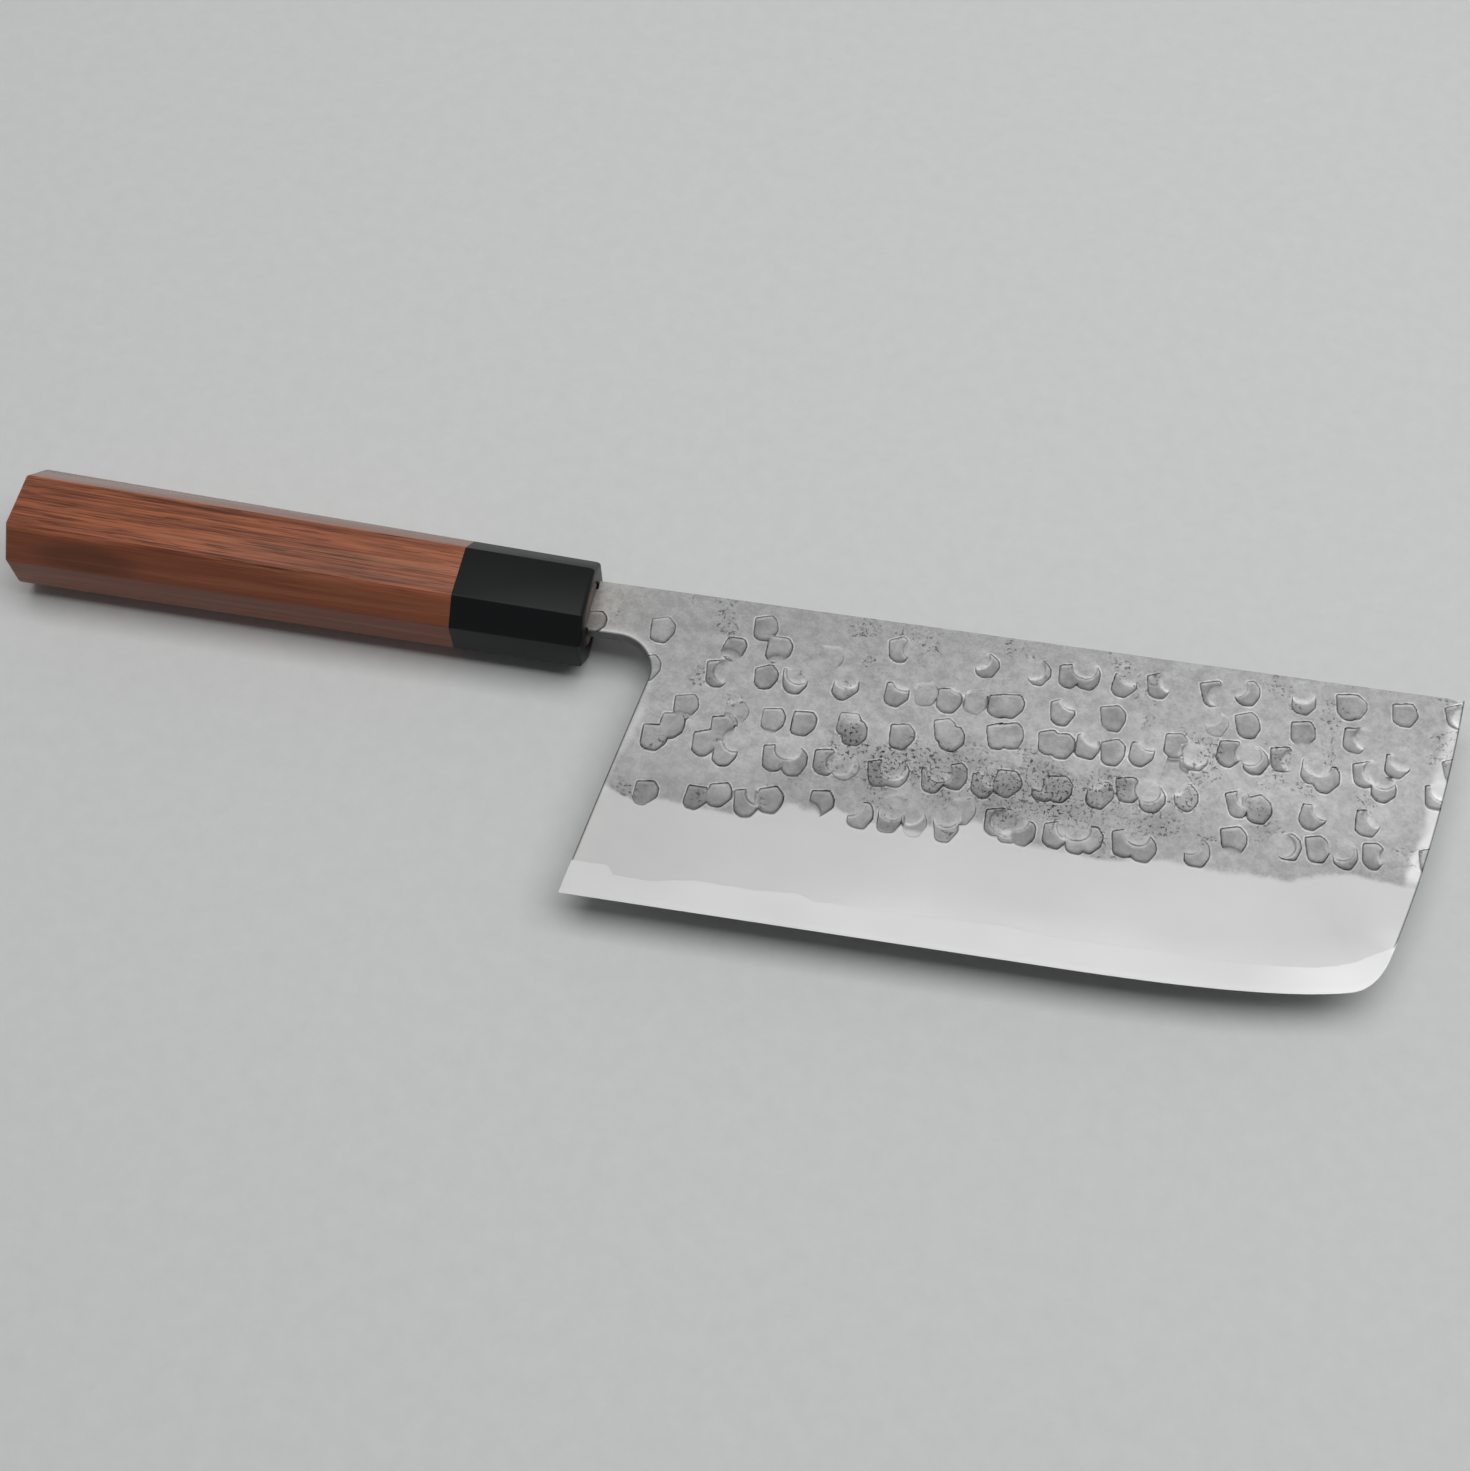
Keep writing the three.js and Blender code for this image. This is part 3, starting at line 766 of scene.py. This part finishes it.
material, shader, tones = finish("hammered_cladding", Metallic=0.6)
grain = tones.cloud(GRAIN_CLOUDS, detail=4, roughness=0.7)
patches = tones.cloud(PATCH_CLOUDS, roughness=0.45)
spots = tones.cloud(SPOT_CLOUDS, roughness=0.6).step(0.35, 0.65)
broken = tones.cloud(BROKEN_CLOUDS, detail=2).step(0.38, 0.6)
uneven = tones.cloud(UNEVEN_CLOUDS, detail=2).step(0.3, 0.7)
# Painted reflection: the skin and the bevel are painted brighter towards the tip
towards_tip = painted_tip_reflection(tones)

# Floor, wall and lip of the marks, and the later blows with the ring round them: where painted shade
# darkens floors and walls, and painted highlights brighten lips and rings
fresh = tones.attribute("fresh").step(*FRESHNESS)
outside = tones.attribute("outside")
floor = (1 - outside.step(*FLOOR_BORDER)) * fresh
wall = (1 - tones.attribute("to_rim").step(*WALL_BORDER)) * fresh
lip = outside.step(*LIP_START) * (1 - outside.step(*LIP_END)) * fresh
to_blow = tones.attribute("to_blow")
blow = 1 - to_blow.step(*BLOW_BORDER)
ring = to_blow.step(*RING_START) * (1 - to_blow.step(*RING_END)) * (1 - outside.step(*RING_IN_MARK))

# Ground steel shows where the bevel cuts below the forged skin
cut = tones.attribute("ground")
ground = (cut + 0.05 * (patches - 0.5) + 0.03 * (grain - 0.5)).step(*GROUND_BORDER)
ground = ground * (1 - 0.85 * floor)
# Painted shade: the skin is painted darker in a band just above the ridge
painted_ridge_shade = cut.step(*RIDGE_SHADE_BAND)
near_weld = cut.step(*NEAR_WELD) * tones.place(0).step(*BLEND_ALONG)
# Painted shade: a thin dark line along the eased edges of tip, heel and choil
side = 1 - tones.attribute("to_side").step(*EDGE_SHADE_BORDER)
rubbed = tones.attribute("rubbed") * (1 - 0.8 * floor)

nicks = tones.cloud(NICK_CLOUDS, detail=4, roughness=0.7).step(0.55, 0.66)
clusters = tones.cloud(CLUSTER_CLOUDS, detail=2).step(0.58, 0.66)
pitted = tones.attribute("pitted")
pits = nicks * (pitted + 0.8 * clusters) * (1 - ground)

skin = SKIN_GREY + 0.09 * patches + 0.235 * grain + 0.06 * spots
# The skin is painted darker over the pitted band, partly the pits' own tone and partly painted shade, and
# darker still in painted shade near the ridge
skin = skin * (0.98 + 0.24 * towards_tip) * (1 - 0.24 * pitted) * (1 - 0.24 * painted_ridge_shade)
# Painted highlights brighten the rings round later blows and the marks' lips; painted shade darkens the
# marks' floors and walls
skin = skin * (1 + 0.03 * blow) * (1 + ring * (0.06 + 0.3 * broken))
forged = skin * (1 - floor * (0.12 + 0.26 * uneven)) * (1 - wall * (0.92 - 0.5 * broken))
forged = forged * (1 + lip * (0.2 + 0.35 * broken)) * (1 - 0.6 * pits)

clouds = tones.cloud(BEVEL_CLOUDS, stretch=CLOUD_STRETCH)
wisps = tones.cloud(WISP_CLOUDS, detail=4, stretch=WISP_STRETCH).step(0.3, 0.7)
scratches = grinding_scratches(tones)
# The bevel carries the painted reflection that brightens it towards the tip
polished = BEVEL_GREY + 0.1 * clouds + 0.01 * scratches + 0.065 * towards_tip
polished = polished + near_weld * (0.02 + 0.04 * wisps)

brightness = forged + (polished - forged) * ground
# Rubbed wear brightens tip and heel, and the painted shade line darkens their eased edges
brightness = (brightness + (RUBBED_GREY - brightness) * rubbed) * (1 - 0.72 * side)
tint = tones.place(0).step(*NECK_FADE).mix(NECK_TINT, grey(1))
brightness.mix(grey(0), tint).into(shader, "Base Color")
((0.32 + 0.16 * grain) * (1 - ground) + (0.4 + 0.04 * scratches) * ground).into(shader, "Roughness")
relief = 0.1 * grain - 0.5 * pits - 0.9 * floor + 0.1 * lip + 0.008 * scratches
relief.bump(1, RELIEF_DEPTH).into(shader, "Normal")

right = cladding("cladding_right_face", 1, RIGHT_MARKS, RIGHT_FAINT, RIGHT_SEED, material)
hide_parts("cladding_right")
left = cladding("cladding_left_face", -1, *scattered_marks(LEFT_SEED), LEFT_SEED, material)
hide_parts("cladding_left")


# Dowel: a round peg of pale wood that joins ferrule and body and is slotted for the tang.
# Only its end shows, set a little back in the ferrule round the neck of the blade, and darker beside the
# tang and below the neck.

DOWEL_DARK = (0.14, 0.1, 0.09, 1)
DOWEL_PALE = (0.27, 0.205, 0.19, 1)
DOWEL_RINGS = 700
RING_STRETCH = (0.1, 1, 1)
RING_DEPTH = 0.1 * MM
END_DARK_BLACK = (0.012, 0.01, 0.008, 1)
TANG_DARK_FADE = (1.8 * MM, 2.6 * MM)
NECK_UNDERSIDE = (SPINE_ABOVE_AXIS - NECK_HEIGHT) * MM
UNDERSIDE_FADE = (NECK_UNDERSIDE - 0.5 * MM, NECK_UNDERSIDE)

material, shader, tones = finish("dowel_wood", Roughness=0.75)
rings = tones.cloud(DOWEL_RINGS, stretch=RING_STRETCH)
wood = rings.mix(DOWEL_DARK, DOWEL_PALE)
# The end darkens towards black beside the tang and below the neck
from_tang = tones.maths("ABSOLUTE", tones.place(2) - handle_front.z)
over_axis = tones.place(1) - handle_front.y
end_darkening = 1 - from_tang.step(*TANG_DARK_FADE) * over_axis.step(*UNDERSIDE_FADE)
(0.85 * end_darkening).mix(wood, END_DARK_BLACK).into(shader, "Base Color")
rings.bump(0.3, RING_DEPTH).into(shader, "Normal")
paint(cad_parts["dowel"], material)


# Ferrule: an octagonal collar of black horn, bored for the dowel and polished.
# Its long edges are just broken, and its front edge is rounded over.

BORE_RADIUS = 7.4 * MM
BORE_SIDES = 96
BORE_OVERRUN = 10 * MM
FRONT_SIZE = Vector((0, 22.3, 18.6)) * MM
FRONT_CORNER = 5.0 * MM
BUTT_SIZE = Vector((0, 25.3, 20.9)) * MM
BUTT_CORNER = 6.1 * MM
FERRULE_ROUND = 1.0 * MM
ROUND_SEGMENTS = 4
LONG_EDGE_SHARE = 0.2
JOINT_SHARE = 0.06
HANDLE_CREASE = math.radians(25)
HORN_DARK = (0.003, 0.0036, 0.004, 1)
HORN_PALE = (0.007, 0.008, 0.0085, 1)
MARBLING_CLOUDS = 45
MARBLING_STRETCH = (0.35, 1, 1)
POLISH_CLOUDS = 220

body_low, body_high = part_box("handle_body")


def section(x):
    """Half height, half thickness and corner of the handle's octagon at a place along it."""
    share = (x - body_low.x) / (handle_front.x - body_low.x)
    size = BUTT_SIZE.lerp(FRONT_SIZE, share) / 2
    return size.y, size.z, BUTT_CORNER + (FRONT_CORNER - BUTT_CORNER) * share


def octagon_block(name, back_x, front_x, back_share, front_share, rounding):
    """A length of the octagonal handle, its edges rounded by shares of one rounding."""
    bpy.ops.mesh.primitive_cylinder_add(vertices=8, radius=1, depth=2)
    made = start(bpy.context.object, name)
    for corner in made.data.vertices:
        angle = math.atan2(corner.co.y, corner.co.x) + math.pi / 8
        x = front_x if corner.co.z > 0 else back_x
        height, thickness, cut = section(x)
        across = Vector((math.cos(angle), math.sin(angle)))
        tall = abs(across.x) > abs(across.y)
        y = height if tall else height - cut
        z = thickness - cut if tall else thickness
        corner.co = (x, math.copysign(y, across.x), math.copysign(z, across.y))
        corner.co.yz += handle_front.yz
    bpy.ops.object.mode_set(mode="EDIT")
    bpy.ops.mesh.select_all(action="SELECT")
    bpy.ops.mesh.normals_make_consistent(inside=False)
    bpy.ops.object.mode_set(mode="OBJECT")
    weights = made.data.attributes.new("bevel_weight_edge", "FLOAT", "EDGE")
    for side in made.data.edges:
        ends = {made.data.vertices[i].co.x for i in side.vertices}
        share = LONG_EDGE_SHARE
        if len(ends) == 1:
            share = front_share if abs(ends.pop() - front_x) < MM else back_share
        weights.data[side.index].value = share
    apply_modifier(made, "BEVEL", width=rounding, segments=ROUND_SEGMENTS, limit_method="WEIGHT")
    return made


def bore(piece, from_x, to_x):
    """Drills a piece along the handle's axis."""
    bpy.ops.mesh.primitive_cylinder_add(
        vertices=BORE_SIDES,
        radius=BORE_RADIUS,
        depth=to_x - from_x,
        location=((from_x + to_x) / 2, *handle_front.yz),
        rotation=(0, math.pi / 2, 0),
    )
    drill = bpy.context.object
    start(piece, piece.name)
    apply_modifier(piece, "BOOLEAN", operation="DIFFERENCE", solver="EXACT", object=drill)
    bpy.data.objects.remove(drill)
    bpy.ops.object.shade_smooth_by_angle(angle=HANDLE_CREASE)


joint_x = body_high.x
ferrule = octagon_block("ferrule_collar", joint_x, handle_front.x, JOINT_SHARE, 1, FERRULE_ROUND)
bore(ferrule, joint_x - BORE_OVERRUN, handle_front.x + BORE_OVERRUN)

material, shader, tones = finish("black_horn", Specular_IOR_Level=0.2)
marbling = tones.cloud(MARBLING_CLOUDS, detail=5, stretch=MARBLING_STRETCH)
marbling.mix(HORN_DARK, HORN_PALE).into(shader, "Base Color")
(0.36 + 0.04 * tones.cloud(POLISH_CLOUDS, detail=4)).into(shader, "Roughness")
paint(ferrule, material)
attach(ferrule, "root")
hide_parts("ferrule")


# Body of the handle: an octagonal block of reddish hardwood, bored for the dowel and oiled.
# The grain runs along it in fine fibres, dark pores and wider streaks. Painted light makes the upper
# facet lighter and its grain stronger, less so towards the butt, and leaves the other facets darker in
# painted shade.

BUTT_ROUND = 1.0 * MM
BORE_END_GAP = 0.5 * MM
WOOD_DARK = (0.06, 0.016, 0.009, 1)
WOOD_PALE = (0.44, 0.138, 0.062, 1)
STREAK_PALE = (0.46, 0.19, 0.1, 1)
PORE_BROWN = (0.06, 0.018, 0.01, 1)
SWIRL_BROWN = (0.045, 0.016, 0.01, 1)
BAND_CLOUDS = 80
STREAK_CLOUDS = 700
FIBRE_CLOUDS = 2600
PALE_CLOUDS = 240
PORE_CLOUDS = 2400
BAND_STRETCH = (0.16, 1, 1)
STREAK_STRETCH = (0.025, 1, 1)
FIBRE_STRETCH = (0.02, 1, 1)
PALE_STRETCH = (0.035, 1, 1)
PORE_STRETCH = (0.035, 1, 1)
GRAIN_CONTRAST = (0.34, 0.66)
GRAIN_RELIEF = 0.1 * MM
SWIRL_PLACE = handle_front + Vector((-112, -10.5, 6.5)) * MM
SWIRL_SIZE = Vector((16, 4.5, 4.5)) * MM
TAPER = (BUTT_SIZE.z - FRONT_SIZE.z) / 2 / (handle_front.x - body_low.x)
UPPER_EDGE = handle_front.z + FRONT_SIZE.z / 2 - 0.2 * MM
UPPER_FACET = (UPPER_EDGE - 1.4 * MM, UPPER_EDGE)
BUTT_FADE = (body_low.x, body_low.x + 60 * MM)
FAR_SHINE = (handle_front.y + 6 * MM, handle_front.y + 7.5 * MM)

dowel_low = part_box("dowel")[0]
body = octagon_block("handle_octagon", body_low.x, joint_x, 1, JOINT_SHARE, BUTT_ROUND)
bore(body, dowel_low.x - BORE_END_GAP, joint_x + BORE_OVERRUN)

material, shader, tones = finish("oiled_hardwood", Specular_IOR_Level=0.25, Coat_Roughness=0.25)
bands = tones.cloud(BAND_CLOUDS, stretch=BAND_STRETCH, bend=0.8).step(0.36, 0.64)
streaks = tones.cloud(STREAK_CLOUDS, detail=4, roughness=0.6, stretch=STREAK_STRETCH, bend=0.5)
streaks = streaks.step(*GRAIN_CONTRAST)
fibres = tones.cloud(FIBRE_CLOUDS, roughness=0.6, stretch=FIBRE_STRETCH).step(*GRAIN_CONTRAST)
pale = tones.cloud(PALE_CLOUDS, detail=4, stretch=PALE_STRETCH, bend=1).step(0.54, 0.66)
pores = tones.cloud(PORE_CLOUDS, detail=2, stretch=PORE_STRETCH).step(0.57, 0.64)
swirl = 1 - tones.away_from(SWIRL_PLACE, SWIRL_SIZE).step(0.4, 1)
# Painted light: the upper facet is painted lighter with stronger grain, fading a little towards the butt;
# the other facets are painted darker as shade
lit_top_facet = (tones.place(2) + TAPER * (tones.place(0) - handle_front.x)).step(*UPPER_FACET)
butt = 1 - tones.place(0).step(*BUTT_FADE)
figure = 0.24 * bands + 0.36 * streaks + 0.4 * fibres
tone = 0.38 + 0.29 * lit_top_facet - 0.1 * butt * lit_top_facet + (figure - 0.5) * (0.22 + 1.1 * lit_top_facet)
wood = tone.mix(WOOD_DARK, WOOD_PALE)
wood = (pale * (0.15 + 0.3 * lit_top_facet)).mix(wood, STREAK_PALE)
wood = (pores * (0.15 + 0.45 * lit_top_facet)).mix(wood, PORE_BROWN)
wood = (0.45 * swirl).mix(wood, SWIRL_BROWN)
wood.into(shader, "Base Color")
(0.2 + 0.8 * tones.place(1).step(*FAR_SHINE)).into(shader, "Coat Weight")
(0.36 + 0.2 * fibres).into(shader, "Roughness")
(streaks - pores * 0.8).bump(0.2, GRAIN_RELIEF).into(shader, "Normal")
paint(body, material)
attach(body, "root")
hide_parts("handle_body")


# Table, light and camera: a pale matt table top, a large soft light over the far side of the knife,
# a weak fill from all round, and a camera that looks down on the blade's right face.
# Camera and gloss see pale surroundings past the near table, which cast no light of their own.

TABLE_SIZE = 6
TABLE_CLOUDS = 220
TABLE_DARK = (0.69, 0.705, 0.7, 1)
TABLE_PALE = (0.79, 0.805, 0.8, 1)
SURROUNDINGS = (0.5, 0.515, 0.51, 1)
FAR_TABLE = (0.25, 0.7)
FILL_LEVEL = 0.1
BACK_LEVEL = 0.5
GLOW_BACKWARD = (-0.2, 0.9)
GLOW_UPWARD = (0.8, 0.2)
OVERHEAD = (0.1, 0.4)
OVERHEAD_LOSS = 0.6
LIGHT_LEVEL = 2.6
LIGHT_SIZE = Vector((1.9, 0.84))
LIGHT_PLACE = Vector((0.33, 0.19, 1.2))
CAMERA_TARGET = Vector((7.466, 2.941, 10.439)) * MM
CAMERA_DISTANCE = 402.4 * MM
CAMERA_ELEVATION = math.radians(62.07)
CAMERA_AZIMUTH = math.radians(11.008)
CAMERA_ROLL = math.radians(-0.373)
CAMERA_LENS = 46.07
CAMERA_CLIP = 10 * MM

bpy.ops.mesh.primitive_plane_add(size=TABLE_SIZE)
table = start(bpy.context.object, "table_top")
material, shader, tones = finish("matt_table", Roughness=0.9, Specular_IOR_Level=0, Emission_Strength=1)
board = tones.cloud(TABLE_CLOUDS, detail=6, roughness=0.7).mix(TABLE_DARK, TABLE_PALE)
distant = tones.away_from((0, 0, 0), (1, 1, 1)).step(*FAR_TABLE) * tones.seen()
distant.mix(board, grey(0)).into(shader, "Base Color")
distant.mix(grey(0), SURROUNDINGS).into(shader, "Emission Color")
paint(table, material)

world = bpy.data.worlds.new("studio")
bpy.context.scene.world = world
world.use_nodes = True
tones = Tone(world.node_tree)
direction = tones.node("ShaderNodeTexCoord")
backward = tones.node("ShaderNodeSeparateXYZ", inputs={0: direction}, output=1)
upward = tones.node("ShaderNodeSeparateXYZ", inputs={0: direction}, output=2)
glow = backward.step(*GLOW_BACKWARD) * upward.step(*GLOW_UPWARD)
fill = glow.mix(grey(FILL_LEVEL), grey(BACK_LEVEL))
mirrored = 1 - OVERHEAD_LOSS * upward.step(*OVERHEAD)
background = world.node_tree.nodes["Background"]
tones.seen(mirrored).mix(fill, SURROUNDINGS).into(background, "Color")

bpy.ops.object.light_add(type="AREA", location=LIGHT_PLACE)
lamp = bpy.context.object
lamp.name = "soft_light"
lamp.data.shape = "RECTANGLE"
lamp.data.size, lamp.data.size_y = LIGHT_SIZE
lamp.data.energy = LIGHT_LEVEL * math.pi * LIGHT_SIZE.x * LIGHT_SIZE.y

bpy.ops.object.camera_add()
camera = bpy.context.object
bpy.context.scene.camera = camera
look = Vector((
    -math.sin(CAMERA_AZIMUTH) * math.cos(CAMERA_ELEVATION),
    math.cos(CAMERA_AZIMUTH) * math.cos(CAMERA_ELEVATION),
    -math.sin(CAMERA_ELEVATION),
))
camera.location = CAMERA_TARGET - look * CAMERA_DISTANCE
camera.rotation_euler = (look.to_track_quat("-Z", "Y") @ Quaternion((0, 0, 1), CAMERA_ROLL)).to_euler()
camera.data.lens = CAMERA_LENS
camera.data.sensor_fit = "HORIZONTAL"
camera.data.clip_start = CAMERA_CLIP
bpy.context.scene.view_settings.view_transform = "Standard"
